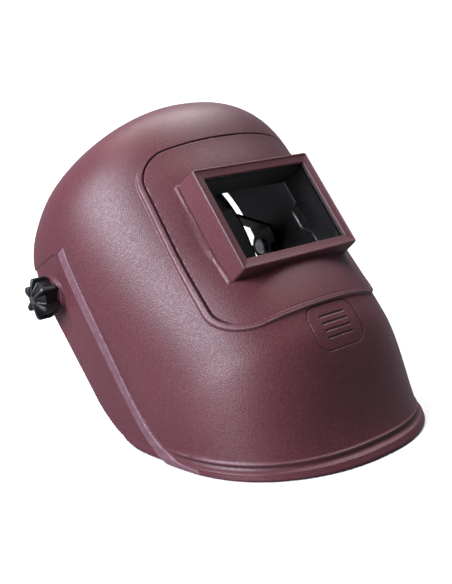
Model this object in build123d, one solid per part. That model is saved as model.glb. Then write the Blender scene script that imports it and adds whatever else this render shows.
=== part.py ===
from build123d import *
import os
from math import cos, degrees, pi, radians, sin, tan

# Welding helmet standing on its bottom rim, in millimetres.
# The helmet frame is upright as worn: +X to the viewer's right, -Y out of the window, +Z up,
# with the middle of the window box's outer face at the origin. Every part is modelled there
# and then leaned back and lowered so that the rim plane becomes the floor, z = 0.

# Standing pose
LEAN = 35.6            # lean back from upright, degrees
RIM_DROP = 181.14      # origin of the helmet frame above the rim plane
CENTRE_SHIFT = -70.5   # puts the middle of the bounding box over the row's origin

# Shell surface
WALL = 3.0
MID_Y = 125.0          # depth of the widest section
FRONT_Y = 11.6         # front of the face beside the window
DEPTH = MID_Y - FRONT_Y
REAR_DEPTH = 330.0     # half depth behind the widest section, where the sides barely narrow
TEMPLE_HALF = 123.5    # half width at the temples
CHEEK_HALF = 109.5     # half width at the cheeks and rim
TEMPLE_Z = 60.0
CHEEK_Z = -100.0
CROWN_Z = 138.5        # highest point
SIDE_DOME_Z = 58.0     # where the sides start to close over the crown
SIDE_DOME_POWER = 2.45
FRONT_DOME_Z = 70.0    # where the front starts to close over the crown
FRONT_DOME_POWER = 3.4
CROWN_ROLL = 0.004     # how fast the crown drops behind CROWN_ROLL_Y
CROWN_ROLL_Y = 115.0
SECTION_POWER = 2.2    # roundness of the horizontal section at the window
SECTION_GROWTH = 0.00115
CHIN_BULGE = 10.4      # the face swells forward above the chin
CHIN_BULGE_SPAN = 90.0
CHIN_TUCK = 27.5       # and turns back in to the rim
CHIN_TUCK_Z = -98.0
CHIN_TUCK_SPAN = 100.0

# Rim and rear edge, in side view
RIM_Y = 36.0
RIM_Z = -197.0
RIM_SLOPE = tan(radians(LEAN))
RIM_END_Y = 150.0
REAR_LOW = (180.5, -55.0)
REAR_HIGH = (166.0, 60.0)
REAR_TURN = (153.0, 104.0)
REAR_CROWN = (126.0, 150.0)
LIP_HEIGHT = 9.0
LIP_PROUD = 3.2

# Raised panel round the window
PANEL_HALF = 80.0
PANEL_TOP = 77.0
PANEL_BOTTOM = -80.0
PANEL_CORNER = 24.0
PANEL_PROUD = 2.2
GROOVE_WIDTH = 1.8
GROOVE_DEPTH = 1.2

# Window box
BOX_WIDTH = 120.0
BOX_HEIGHT = 87.5
OPENING_WIDTH = 105.0
OPENING_HEIGHT = 70.7
POCKET_WIDTH = 113.0
POCKET_HEIGHT = 80.5
BOX_LIP = 3.0
BOX_DEPTH = 36.0
BOX_FLARE = 2.5        # how much wider the box is at its foot

# Window stack, depths behind the box's outer face
GLASS_WIDTH = 112.4
GLASS_HEIGHT = 79.9
GASKET_BACK = 4.5
GLASS_BACK = 6.7
RETAINER_BACK = 31.0
WIRE_RADIUS = 1.0
WIRE_X = 54.4
WIRE_Y = RETAINER_BACK + WIRE_RADIUS
WIRE_HALF = 43.4

# Side bands, as (y, z) points down the rear edge and back up the front edge
BAND_PROUD = 1.5
BAND_REAR = ((113.5, 54), (120, 21), (128.5, -25), (133, -68), (134.5, -98), (131, -127))
BAND_FRONT = ((126, -132), (127.5, -98), (125, -68), (120.5, -25), (113, 21), (106.5, 54))

# Pivots
PIVOT_Y = 154.0
PIVOT_Z = 36.0
BOSS_OUTER = 123.9
BOSS_INNER = 118.4
BOSS_RADIUS = 15.0
BOLT_RADIUS = 3.0
BOLT_HOLE = 3.08
PLAY = 0.3

# Knobs
KNOB_RADIUS = 17.2
KNOB_INNER = 125.6
KNOB_OUTER = 141.5
KNOB_LOBES = 6
KNOB_EDGE = 4.0
FINGER_RADIUS = 4.2
KNOB_BORE_END = 137.0
BOLT_END = 136.0
TILT_PLATE_RADIUS = 16.0
STOP_HOLE_RADIUS = 1.4
STOP_HOLE_CIRCLE = 12.5

# Headgear, modelled as worn round the pivot axis and then swung up under the crown
STOW_ANGLE = 72.25
RING_Y = 8.0           # the ring's middle is behind the pivots
HEAD_HALF_WIDTH = 76.0
HEAD_HALF_LENGTH = 97.0
HEADBAND_Z = -12.0
HEADBAND_HEIGHT = 30.0
STRAP_HEIGHT = 20.0
STRAP_END = 38.0
BAND_THICKNESS = 2.2
SWEATBAND = 6.0
LAP_GAP = 0.1
RIVET_STATIONS = (12.0, 24.0)
RIVET_RADIUS = 2.0
RIVET_HEAD_RADIUS = 4.0
RIVET_HEAD_HEIGHT = 1.6
RIVET_HEAD_X = 78.4
BAND_REAR_END = 32.0
ARM_X = 112.6
ARM_THICKNESS = 3.0
ARM_WIDTH = 16.0
EYE_RADIUS = 13.0
PLATE_INNER = ARM_X + ARM_THICKNESS / 2 + 0.3
PLATE_OUTER = PLATE_INNER + 2.0
CROWN_STRAP_Y = 2.0
CROWN_STRAP_RISE = 104.0
CROWN_STRAP_LAP = 2.0
CROWN_STRAP_THICKNESS = 1.5
CROWN_STRAP_WIDTH = 20.0
CROWN_STRAP_OVERLAP = 22.0

# Size ratchet: everything curves round one vertical axis behind the middle of the head
NAPE_CENTRE_Y = RING_Y + 37.5
TRAY_RADIUS = 54.2
RACK_INNER = 57.2
RACK_THICKNESS = 1.0
RACK_HEIGHT = 20.0
RACK_TEETH = 4
RACK_TIP_ANGLE = 19.5
RACK_TAIL_ANGLE = 56.0
SLOT_HALF = 15.5
SLOT_HALF_HEIGHT = 7.2
COVER_RADIUS = 60.4
HOUSING_ANGLE = 35.0
HOUSING_HEIGHT = 33.0
PLATE_THICKNESS = 2.5
WALL_THICKNESS = 1.6
KEEPER_RADIUS = 60.1
KEEPER_ANGLE = 46.0
KEEPER_OUTER = 9.2
KEEPER_INNER = 6.4
PINION_TEETH = 12
PINION_RADIUS = 6.0
RACK_PITCH_RADIUS = RACK_INNER + RACK_THICKNESS + 0.15
PINION_ROOT = 5.0
PINION_TIP = 6.8
TOOTH_WIDTH = 1.0
TOOTH_GAP = 5.4
SHAFT_RADIUS = 2.0
PLAY_FIT = 0.08
TRAY_FRONT = NAPE_CENTRE_Y + TRAY_RADIUS
KNOB_SEAT = NAPE_CENTRE_Y + COVER_RADIUS + 5.0
KNOB_END = KNOB_SEAT + 14.0
RATCHET_KNOB_RADIUS = 20.0
RATCHET_FLUTES = 18
FLUTE_RADIUS = 2.6
SEAT_RADIUS = 8.0
SCREW_RADIUS = 1.5
SHAFT_GRIP = 9.0
NAPE_PAD_ANGLE = 31.0
NAPE_PAD_HEIGHT = 36.0
NAPE_PAD_THICKNESS = 7.2
PAD_HEIGHT = 38.0
PAD_END_Y = -34.0


def smooth(t):
    """Smooth step from 0 to 1."""
    t = min(max(t, 0.0), 1.0)
    return t * t * (3.0 - 2.0 * t)


def front_y(z):
    """Depth of the face on the centre line, below the crown."""
    bulge = CHIN_BULGE * smooth(-z / CHIN_BULGE_SPAN)
    tuck = CHIN_TUCK * smooth((CHIN_TUCK_Z - z) / CHIN_TUCK_SPAN)
    return FRONT_Y - bulge + tuck


def closing(z, start, power):
    """How far a dome that starts at a height has closed at z: 1 is open, 0 is shut."""
    s = min(max((z - start) / (CROWN_Z - start), 0.0), 1.0)
    return (1.0 - s**power) ** (1.0 / power)


def unrolled(y, z):
    """Height before the crown drops towards the rear."""
    return z + CROWN_ROLL * smooth(z / 60.0) * max(0.0, y - CROWN_ROLL_Y) ** 2


def half_width(y, z):
    """Distance of the shell's outer surface from the centre plane."""
    z = unrolled(y, z)
    cheek = smooth((z - CHEEK_Z) / (TEMPLE_Z - CHEEK_Z))
    width = CHEEK_HALF + (TEMPLE_HALF - CHEEK_HALF) * cheek
    width *= closing(z, SIDE_DOME_Z, SIDE_DOME_POWER)
    power = SECTION_POWER + SECTION_GROWTH * max(0.0, 20.0 - z)
    if y < MID_Y:
        depth = (MID_Y - front_y(z)) * closing(z, FRONT_DOME_Z, FRONT_DOME_POWER)
        reach = (MID_Y - y) / max(depth, 0.001)
    else:
        reach = (y - MID_Y) / REAR_DEPTH
    return width * max(0.0, 1.0 - min(reach, 1.0) ** power) ** (1.0 / power)


def centre_line(s):
    """Point of the front and crown profile: s runs from 0 below the chin to 1 behind the crown."""
    straight = 0.62
    if s < straight:
        z = -212.0 + (FRONT_DOME_Z + 212.0) * s / straight
        return front_y(z), z
    turn = (s - straight) / (1.0 - straight)
    if turn < 0.7:
        angle = radians(90.0 * turn / 0.7)
        z = FRONT_DOME_Z + (CROWN_Z - FRONT_DOME_Z) * sin(angle) ** (2.0 / FRONT_DOME_POWER)
        y = MID_Y - DEPTH * cos(angle) ** (2.0 / FRONT_DOME_POWER)
    else:
        z = CROWN_Z
        y = MID_Y + 50.0 * (turn - 0.7) / 0.3
    return y, z - CROWN_ROLL * max(0.0, y - CROWN_ROLL_Y) ** 2


def rear_line(s):
    """Point behind the shell's rear edge that faces centre_line(s)."""
    return 186.0 - 14.0 * smooth((s - 0.7) / 0.3), -128.0 + 226.0 * s


def surface_point(s, c, offset):
    """Point of the shell: s up the profile, c from -1 at the left edge to 1 at the right."""

    def raw(s, c):
        front = centre_line(s)
        rear = rear_line(s)
        share = 1.0 - cos(radians(90.0 * abs(c)))
        y = front[0] + (rear[0] - front[0]) * share
        z = front[1] + (rear[1] - front[1]) * share
        x = half_width(y, z) if abs(c) > 0.001 else 0.0
        return Vector(x if c > 0 else -x, y, z)

    step = 0.004
    across = raw(s, min(c + step, 1.0)) - raw(s, max(c - step, -1.0))
    along = raw(min(s + step, 1.0), c) - raw(max(s - step, 0.0), c)
    normal = across.cross(along).normalized()
    return raw(s, c) + normal * offset


ROWS = 40
COLUMNS = 48


def surface(offset):
    """Shell surface moved outward by an offset, as one smooth face."""
    grid = [
        [surface_point(i / ROWS, 2.0 * j / COLUMNS - 1.0, offset) for j in range(COLUMNS + 1)]
        for i in range(ROWS + 1)
    ]
    return Face.make_surface_from_array_of_points(grid, tol=0.05, min_deg=3, max_deg=5)


def skin(inner, outer):
    """Solid layer of the shell between two offsets of its surface."""
    low = surface(inner)
    high = surface(outer)
    sides = []
    for edge in low.edges():
        middle = edge.position_at(0.5)
        above = min(high.edges(), key=lambda e: (e.position_at(0.5) - middle).length)
        sides.append(Face.make_surface_from_curves(edge, above))
    return Solid(Shell([low, high] + sides))


def side_prism(outline, half=140.0):
    """Solid across the helmet from a side-view outline of (y, z) points."""
    face = make_face(Plane.YZ * Polyline(*outline, close=True))
    return extrude(face, half, both=True)


def front_prism(width, top, bottom, corner, depth=90.0):
    """Solid straight through the face from a rounded rectangle seen from the front."""
    middle = (top + bottom) / 2
    outline = RectangleRounded(width, top - bottom, corner)
    return extrude(Plane((0, -20, middle), x_dir=(1, 0, 0), z_dir=(0, 1, 0)) * outline, depth)


def rim_z(y):
    """Height of the rim plane at a depth."""
    return RIM_Z + RIM_SLOPE * (y - RIM_Y)


def x_cylinder(radius, x_from, x_to, y=0.0, z=0.0):
    """Cylinder along X between two stations, given from the inner to the outer end."""
    length = abs(x_to - x_from)
    middle = (x_from + x_to) / 2
    return Pos(middle, y, z) * Rot(0, 90, 0) * Cylinder(radius, length)


def y_cylinder(radius, y_from, y_to, x=0.0, z=0.0):
    """Cylinder along Y between two stations."""
    return Pos(x, (y_from + y_to) / 2, z) * Rot(90, 0, 0) * Cylinder(radius, abs(y_to - y_from))


def trim_outline():
    """Side-view prism that keeps the shell between its rim and its rear edge."""
    rim_start = (-40.0, rim_z(-40.0))
    rim_end = (RIM_END_Y, rim_z(RIM_END_Y))
    rim = Line(rim_start, rim_end)
    corner = TangentArc(rim_end, REAR_LOW, tangent=(1.0, RIM_SLOPE))
    rear = Line(REAR_LOW, REAR_HIGH)
    lean = (REAR_HIGH[0] - REAR_LOW[0], REAR_HIGH[1] - REAR_LOW[1])
    crown = Spline(REAR_HIGH, REAR_TURN, REAR_CROWN, tangents=[lean, (-1.0, 1.9)])
    back = Polyline(REAR_CROWN, (REAR_CROWN[0], 190.0), (-40.0, 190.0), rim_start)
    face = make_face([rim, corner, rear, crown] + back.edges())
    return extrude(Plane.YZ * face, 140.0, both=True)


def helmet_shell():
    """One moulded piece: face, crown, cheeks, panel, window box, side bands and rim lip."""
    body = skin(-WALL, 0.0)
    proud = skin(-WALL / 2, PANEL_PROUD)
    panel = front_prism(2 * PANEL_HALF, PANEL_TOP, PANEL_BOTTOM, PANEL_CORNER)
    body += proud & panel

    band_layer = skin(-WALL / 2, BAND_PROUD)
    body += band_layer & side_prism(BAND_REAR + BAND_FRONT)

    lip_layer = skin(-WALL, LIP_PROUD)
    lip = [(-40, rim_z(-40) - 5), (160, rim_z(160) - 5)]
    lip += [(160, rim_z(160) + LIP_HEIGHT), (-40, rim_z(-40) + LIP_HEIGHT)]
    body += lip_layer & side_prism(lip)

    groove = front_prism(2 * PANEL_HALF, PANEL_TOP, PANEL_BOTTOM, PANEL_CORNER)
    inset = 2 * GROOVE_WIDTH
    groove -= front_prism(
        2 * PANEL_HALF - inset, PANEL_TOP - inset / 2, PANEL_BOTTOM + inset / 2, PANEL_CORNER - 2
    )
    body -= skin(PANEL_PROUD - GROOVE_DEPTH - 0.6, PANEL_PROUD + 4.0) & groove

    foot = Plane((0, BOX_DEPTH, 0), x_dir=(1, 0, 0), z_dir=(0, -1, 0))
    face = Plane((0, 0, 0), x_dir=(1, 0, 0), z_dir=(0, -1, 0))
    box = loft([
        foot * Rectangle(BOX_WIDTH + BOX_FLARE, BOX_HEIGHT + BOX_FLARE),
        face * Rectangle(BOX_WIDTH, BOX_HEIGHT),
    ])
    body += box
    pocket = Pos(0, BOX_LIP + 50, 0) * Box(POCKET_WIDTH, 100, POCKET_HEIGHT)
    body -= pocket
    body -= Box(OPENING_WIDTH, 40, OPENING_HEIGHT)
    for x in (-WIRE_X, WIRE_X):
        body -= Pos(x, WIRE_Y, 0) * Cylinder(WIRE_RADIUS + 0.1, 2 * WIRE_HALF + 0.4)

    body &= trim_outline()
    for side in (-1, 1):
        boss = x_cylinder(BOSS_RADIUS, side * BOSS_INNER, side * BOSS_OUTER, PIVOT_Y, PIVOT_Z)
        clear_in = x_cylinder(BOSS_RADIUS + 3, side * 100, side * BOSS_INNER, PIVOT_Y, PIVOT_Z)
        clear_out = x_cylinder(KNOB_RADIUS + 2, side * BOSS_OUTER, side * 140, PIVOT_Y, PIVOT_Z)
        body += boss & trim_outline()
        body -= clear_in
        body -= clear_out
        body -= x_cylinder(BOLT_HOLE, side * 100, side * 140, PIVOT_Y, PIVOT_Z)
    return body


# --- window ---------------------------------------------------------------------------------
# The stack behind the opening: gasket, clear plate, retainer, and two wires that hold them in.


def plate_ring(width, height, inner_width, inner_height, y_from, y_to):
    """Rectangular ring across the window between two depths."""
    middle = (y_from + y_to) / 2
    depth = y_to - y_from
    return Pos(0, middle, 0) * (Box(width, depth, height) - Box(inner_width, depth + 2, inner_height))


def lens_gasket():
    return plate_ring(GLASS_WIDTH, GLASS_HEIGHT, OPENING_WIDTH, OPENING_HEIGHT, BOX_LIP, GASKET_BACK)


def cover_lens():
    middle = (GASKET_BACK + GLASS_BACK) / 2
    return Pos(0, middle, 0) * Box(GLASS_WIDTH, GLASS_BACK - GASKET_BACK, GLASS_HEIGHT)


def lens_retainer():
    """Black liner of the pocket: a frame on the plate with walls down the pocket's sides."""
    inner = (OPENING_WIDTH + 1, OPENING_HEIGHT + 1)
    return plate_ring(GLASS_WIDTH, GLASS_HEIGHT, *inner, GLASS_BACK, RETAINER_BACK)


def retainer_wires():
    """Two spring wires behind the retainer, their ends in the pocket's upper and lower walls."""
    wires = []
    for side in (-1, 1):
        x = side * WIRE_X
        bow = side * (WIRE_X - 9.0)
        route = FilletPolyline(
            (x, WIRE_Y, -WIRE_HALF), (x, WIRE_Y, -14), (bow, WIRE_Y, -8),
            (bow, WIRE_Y, 8), (x, WIRE_Y, 14), (x, WIRE_Y, WIRE_HALF), radius=4,
        )
        section = Plane(route @ 0, z_dir=route % 0) * Circle(WIRE_RADIUS)
        wires.append(sweep(section, path=route))
    return Compound(children=wires)


# --- pivots and knobs -----------------------------------------------------------------------


def at_pivot(solid):
    """Place a piece made round the origin on the pivot axis of the helmet frame."""
    return Pos(0, PIVOT_Y, PIVOT_Z) * solid


def washer(side, radius, hole, x_from, x_to):
    """Flat washer on the pivot axis."""
    disc = x_cylinder(radius, side * x_from, side * x_to)
    return at_pivot(disc - x_cylinder(hole, side * 90, side * 150))


def side_knob(side):
    """Lobed hand knob with finger grooves, a flat seat and a blind bolt hole."""
    knob = x_cylinder(KNOB_RADIUS, side * KNOB_INNER, side * KNOB_OUTER)
    outer_edge = knob.edges().group_by(Axis.X)[-1 if side > 0 else 0]
    knob = fillet(outer_edge, KNOB_EDGE)
    for i in range(KNOB_LOBES):
        angle = radians(360.0 * (i + 0.5) / KNOB_LOBES)
        y = (KNOB_RADIUS + 1.2) * cos(angle)
        z = (KNOB_RADIUS + 1.2) * sin(angle)
        knob -= x_cylinder(FINGER_RADIUS, side * (KNOB_INNER + 3), side * (KNOB_OUTER + 2), y, z)
    knob -= x_cylinder(BOLT_HOLE, side * (KNOB_INNER - 1), side * KNOB_BORE_END)
    return at_pivot(knob)


def tilt_plate(side):
    """Plate on the shell that the arm turns against, with three small stop holes."""
    plate = x_cylinder(TILT_PLATE_RADIUS, side * PLATE_INNER, side * PLATE_OUTER)
    for i in range(3):
        angle = radians(150 + 30 * i)
        y = STOP_HOLE_CIRCLE * cos(angle)
        z = STOP_HOLE_CIRCLE * sin(angle)
        plate -= x_cylinder(STOP_HOLE_RADIUS, side * 110, side * 120, y, z)
    return at_pivot(plate - x_cylinder(BOLT_HOLE, side * 90, side * 150))


# --- headgear, as worn, round the pivot axis ---------------------------------------------------


def oval_band(half_width, half_length, thickness, height):
    """Closed upright oval band round the head."""
    outer = Ellipse(half_width, half_length)
    inner = Ellipse(half_width - thickness, half_length - thickness)
    return Pos(0, RING_Y, HEADBAND_Z - height / 2) * extrude(outer - inner, height)


def slab(y_from, y_to):
    """Everything between two depths."""
    return Pos(0, (y_from + y_to) / 2, 0) * Box(400, y_to - y_from, 400)


def nape_band(inner_radius, outer_radius, height, angle_from, angle_to):
    """Band curved round the nape centre between two angles from the rear, positive to +X."""
    ring = Circle(outer_radius) - Circle(inner_radius)
    reach = 2 * outer_radius
    edge_a = (reach * sin(radians(angle_from)), reach * cos(radians(angle_from)))
    edge_b = (reach * sin(radians(angle_to)), reach * cos(radians(angle_to)))
    sector = ring & make_face(Polyline((0, 0), edge_a, edge_b, close=True))
    return Pos(0, NAPE_CENTRE_Y, HEADBAND_Z - height / 2) * extrude(sector, height)


def headgear_arm(side):
    """Bent arm from the front band out to the pivot eye."""
    route = Polyline((64.0, -43.0), (70.0, -34.0), (ARM_X - 2, -16.0), (ARM_X, -9.0), (ARM_X, 0.0))
    bar = Pos(0, 0, HEADBAND_Z - ARM_WIDTH / 2) * extrude(trace(route, ARM_THICKNESS), ARM_WIDTH)
    eye = x_cylinder(EYE_RADIUS, ARM_X - ARM_THICKNESS / 2, ARM_X + ARM_THICKNESS / 2)
    arm = bar + eye - x_cylinder(BOLT_RADIUS, 90, 150)
    return arm if side > 0 else mirror(arm, Plane.YZ)


def rivet_pins(side):
    """The two pins through the overlap of the front band and a side strap."""
    pins = [x_cylinder(RIVET_RADIUS, side * 60, side * 82, y, HEADBAND_Z) for y in RIVET_STATIONS]
    return pins[0] + pins[1]


def headband_front():
    """Front half of the head ring with its two arms in one moulding."""
    band = oval_band(HEAD_HALF_WIDTH, HEAD_HALF_LENGTH, BAND_THICKNESS, HEADBAND_HEIGHT)
    band &= slab(-120, BAND_REAR_END)
    for side in (-1, 1):
        band += headgear_arm(side)
        band -= rivet_pins(side)
    return band


def band_rivets():
    """Push rivets that join the straps to the front band."""
    rivets = []
    for side in (-1, 1):
        for y in RIVET_STATIONS:
            shank_end = RIVET_HEAD_X + 0.5
            head_end = RIVET_HEAD_X + RIVET_HEAD_HEIGHT
            shank = x_cylinder(RIVET_RADIUS, side * 73, side * shank_end, y, HEADBAND_Z)
            head = x_cylinder(RIVET_HEAD_RADIUS, side * RIVET_HEAD_X, side * head_end, y, HEADBAND_Z)
            rivets.append(shank + head)
    return Compound(children=rivets)


def side_strap(side):
    """Rear half of the head ring on one side, lapped outside the front band."""
    gap = BAND_THICKNESS + LAP_GAP
    strap = oval_band(
        HEAD_HALF_WIDTH + gap, HEAD_HALF_LENGTH + gap, BAND_THICKNESS, STRAP_HEIGHT
    )
    strap &= slab(4, 130)
    strap &= Pos(side * (STRAP_END + 60), 0, 0) * Box(120, 400, 400)
    return strap - rivet_pins(side)


def strap_keeper(side):
    """Loop on the end of a strap that holds the rack's tail against it."""
    turn = KEEPER_ANGLE * side
    outer = Box(4.0, KEEPER_OUTER, STRAP_HEIGHT + 4)
    inner = Box(6.0, KEEPER_INNER, STRAP_HEIGHT + 0.6)
    loop = Pos(0, KEEPER_RADIUS, 0) * (outer - inner)
    return Pos(0, NAPE_CENTRE_Y, HEADBAND_Z) * Rot(0, 0, -turn) * loop


def rear_rack(side):
    """Thin band end with a slot for the pinion, toothed along one side of the slot."""
    radius = RACK_INNER if side < 0 else RACK_INNER + RACK_THICKNESS + 0.3
    ends = sorted((-RACK_TIP_ANGLE * side, RACK_TAIL_ANGLE * side))
    band = nape_band(radius, radius + RACK_THICKNESS, RACK_HEIGHT, *ends)
    slot = Box(2 * SLOT_HALF, 30, 2 * SLOT_HALF_HEIGHT)
    band -= Pos(0, NAPE_CENTRE_Y + radius, HEADBAND_Z) * slot
    pitch = 2 * pi * PINION_RADIUS / PINION_TEETH
    for i in range(-RACK_TEETH, RACK_TEETH):
        angle = degrees((i + 0.5) * pitch / RACK_PITCH_RADIUS)
        height = SLOT_HALF_HEIGHT - TOOTH_GAP + 1.0
        z = HEADBAND_Z + side * (TOOTH_GAP + height / 2)
        tooth = Pos(0, radius + RACK_THICKNESS / 2, z) * Box(TOOTH_WIDTH, RACK_THICKNESS, height)
        band += Pos(0, NAPE_CENTRE_Y, 0) * Rot(0, 0, angle) * tooth
    return band


def ratchet_pinion():
    """Small gear on a shaft: its teeth are in both racks' slots, its shaft carries the knob."""
    y_low = NAPE_CENTRE_Y + RACK_INNER - 0.2
    y_high = NAPE_CENTRE_Y + RACK_INNER + 2 * RACK_THICKNESS + 0.5
    gear = y_cylinder(PINION_ROOT, y_low, y_high)
    for i in range(PINION_TEETH):
        spoke = Box(TOOTH_WIDTH, y_high - y_low, PINION_TIP)
        spoke = Pos(0, (y_low + y_high) / 2, PINION_TIP / 2) * spoke
        gear += Rot(0, 360 * i / PINION_TEETH, 0) * spoke
    gear += y_cylinder(SHAFT_RADIUS, TRAY_FRONT + 0.5, KNOB_SEAT + SHAFT_GRIP)
    return Pos(0, 0, HEADBAND_Z) * gear


def ratchet_housing():
    """Curved rear tray with an upper and a lower wall, between which the racks slide."""
    ends = (-HOUSING_ANGLE, HOUSING_ANGLE)
    tray = nape_band(TRAY_RADIUS, TRAY_RADIUS + PLATE_THICKNESS, HOUSING_HEIGHT, *ends)
    for z in (-1, 1):
        wall = nape_band(TRAY_RADIUS + PLATE_THICKNESS - 0.1, COVER_RADIUS, WALL_THICKNESS, *ends)
        tray += Pos(0, 0, z * (HOUSING_HEIGHT - WALL_THICKNESS) / 2) * wall
    return tray - Pos(0, 0, HEADBAND_Z) * y_cylinder(SHAFT_RADIUS + PLAY_FIT, 60, 140)


def ratchet_cover():
    """Curved outer plate of the housing with a round seat for the knob."""
    ends = (-HOUSING_ANGLE, HOUSING_ANGLE)
    cover = nape_band(COVER_RADIUS, COVER_RADIUS + PLATE_THICKNESS, HOUSING_HEIGHT, *ends)
    seat = y_cylinder(SEAT_RADIUS, NAPE_CENTRE_Y + COVER_RADIUS + 1, KNOB_SEAT - PLAY)
    cover += Pos(0, 0, HEADBAND_Z) * seat
    return cover - Pos(0, 0, HEADBAND_Z) * y_cylinder(SHAFT_RADIUS + PLAY_FIT, 60, 140)


def ratchet_knob():
    """Round grip with flutes, hollow towards the housing."""
    knob = y_cylinder(RATCHET_KNOB_RADIUS, KNOB_SEAT - 1.7, KNOB_END)
    knob = fillet(knob.edges().group_by(Axis.Y)[-1], 2.5)
    for i in range(RATCHET_FLUTES):
        angle = radians(360 * i / RATCHET_FLUTES)
        x = (RATCHET_KNOB_RADIUS + 1.4) * cos(angle)
        z = (RATCHET_KNOB_RADIUS + 1.4) * sin(angle)
        knob -= y_cylinder(FLUTE_RADIUS, KNOB_SEAT - 4, KNOB_END + 1, x, z)
    knob -= y_cylinder(RATCHET_KNOB_RADIUS - 4, KNOB_SEAT - 4, KNOB_SEAT)
    knob -= y_cylinder(SHAFT_RADIUS, KNOB_SEAT - 4, KNOB_SEAT + SHAFT_GRIP)
    knob -= y_cylinder(SCREW_RADIUS, KNOB_SEAT - 4, KNOB_END + 1)
    knob -= y_cylinder(4.0, KNOB_END - 3, KNOB_END + 1)
    return Pos(0, 0, HEADBAND_Z) * knob


def ratchet_screw():
    """Screw from the knob's recess into the end of the pinion shaft."""
    shank = y_cylinder(SCREW_RADIUS, KNOB_SEAT + SHAFT_GRIP, KNOB_END - 3)
    head = y_cylinder(3.6, KNOB_END - 3, KNOB_END - 1)
    return Pos(0, 0, HEADBAND_Z) * (shank + head)


def detent_spring():
    """Leaf spring on the cover that clicks inside the knob."""
    y = NAPE_CENTRE_Y + COVER_RADIUS + PLATE_THICKNESS
    leaf = Pos(0, y + 0.35, HEADBAND_Z) * Box(24, 0.6, 5)
    leaf -= Pos(0, 0, HEADBAND_Z) * y_cylinder(SEAT_RADIUS + 0.1, 60, 140)
    return leaf


def nape_pad():
    """Soft pad between the housing and the neck."""
    outer = TRAY_RADIUS - 0.3
    return nape_band(outer - NAPE_PAD_THICKNESS, outer, NAPE_PAD_HEIGHT, -NAPE_PAD_ANGLE, NAPE_PAD_ANGLE)


def sweatband():
    """Soft brow pad lining the front band."""
    outer = HEAD_HALF_WIDTH - BAND_THICKNESS - 0.3
    length = HEAD_HALF_LENGTH - BAND_THICKNESS - 0.3
    band = Ellipse(outer, length) - Ellipse(outer - SWEATBAND, length - SWEATBAND)
    pad = Pos(0, RING_Y, HEADBAND_Z - PAD_HEIGHT / 2) * extrude(band, PAD_HEIGHT)
    return pad & slab(-120, PAD_END_Y)


def crown_strap(side):
    """One half of the strap over the head, from the front band's edge to the middle."""
    offset = CROWN_STRAP_LAP if side > 0 else 0.0
    rise = CROWN_STRAP_RISE + offset
    half = HEAD_HALF_WIDTH - BAND_THICKNESS - 1.0
    outer = Ellipse(half, rise)
    inner = Ellipse(half - CROWN_STRAP_THICKNESS, rise - CROWN_STRAP_THICKNESS)
    arch = extrude(Plane.XZ * (outer - inner), CROWN_STRAP_WIDTH / 2, both=True)
    arch &= Pos(side * (100 - CROWN_STRAP_OVERLAP), 0, 100) * Box(200, 40, 200)
    foot_x = side * (half - CROWN_STRAP_THICKNESS / 2)
    arch += Pos(foot_x, 0, -12) * Box(CROWN_STRAP_THICKNESS, CROWN_STRAP_WIDTH, 24.2)
    arch = Pos(0, RING_Y + CROWN_STRAP_Y, HEADBAND_Z + 4) * arch
    arch -= Pos(0, RING_Y + CROWN_STRAP_Y, HEADBAND_Z + CROWN_STRAP_RISE) * Cylinder(2.0, 30)
    return arch - rivet_pins(side)


def crown_stud():
    """Snap stud through the lap of the two straps at the top of the head."""
    top = HEADBAND_Z + 4 + CROWN_STRAP_RISE + CROWN_STRAP_LAP
    stud = Pos(0, 0, -2.5) * Cylinder(2.0, 7) + Pos(0, 0, 0.8) * Cylinder(5.0, 1.6)
    return Pos(0, RING_Y + CROWN_STRAP_Y, top) * stud


def pivot_bolt(side):
    """Round-headed bolt from the arm's eye out through the shell into the knob."""
    head_x = ARM_X - ARM_THICKNESS / 2
    bolt = x_cylinder(BOLT_RADIUS, side * (head_x - 1), side * BOLT_END)
    head = x_cylinder(7.5, side * (head_x - 3.2), side * head_x)
    head = fillet(head.edges().group_by(Axis.X)[0 if side > 0 else -1], 2.4)
    return bolt + head


# --- assembly ----------------------------------------------------------------------------------

STAND = Pos(0, CENTRE_SHIFT, RIM_DROP) * Rot(-LEAN, 0, 0)
STOW = Pos(0, PIVOT_Y, PIVOT_Z) * Rot(-STOW_ANGLE, 0, 0)


def parts():
    """Every node's solids in the row frame."""
    fixed = {
        "helmet_shell": helmet_shell(),
        "lens_gasket": lens_gasket(),
        "cover_lens": cover_lens(),
        "lens_retainer": lens_retainer(),
        "retainer_wires": retainer_wires(),
    }
    headgear = {
        "headband_front": headband_front(),
        "band_rivets": band_rivets(),
        "sweatband": sweatband(),
        "crown_stud": crown_stud(),
        "ratchet_housing": ratchet_housing(),
        "ratchet_cover": ratchet_cover(),
        "ratchet_pinion": ratchet_pinion(),
        "ratchet_knob": ratchet_knob(),
        "ratchet_screw": ratchet_screw(),
        "detent_spring": detent_spring(),
        "nape_pad": nape_pad(),
    }
    for side, word in ((-1, "left"), (1, "right")):
        fixed[f"side_knob_{word}"] = side_knob(side)
        fixed[f"outer_washer_{word}"] = washer(side, 12.0, BOLT_HOLE, BOSS_OUTER, KNOB_INNER - PLAY)
        fixed[f"friction_washer_{word}"] = washer(side, 13.0, BOLT_HOLE, PLATE_OUTER, BOSS_INNER)
        fixed[f"tilt_plate_{word}"] = tilt_plate(side)
        headgear[f"pivot_bolt_{word}"] = pivot_bolt(side)
        headgear[f"side_strap_{word}"] = side_strap(side)
        headgear[f"strap_keeper_{word}"] = strap_keeper(side)
        headgear[f"rear_rack_{word}"] = rear_rack(side)
        headgear[f"crown_strap_{word}"] = crown_strap(side)
    placed = {name: STAND * solid for name, solid in fixed.items()}
    placed.update({name: STAND * STOW * solid for name, solid in headgear.items()})
    return placed


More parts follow.
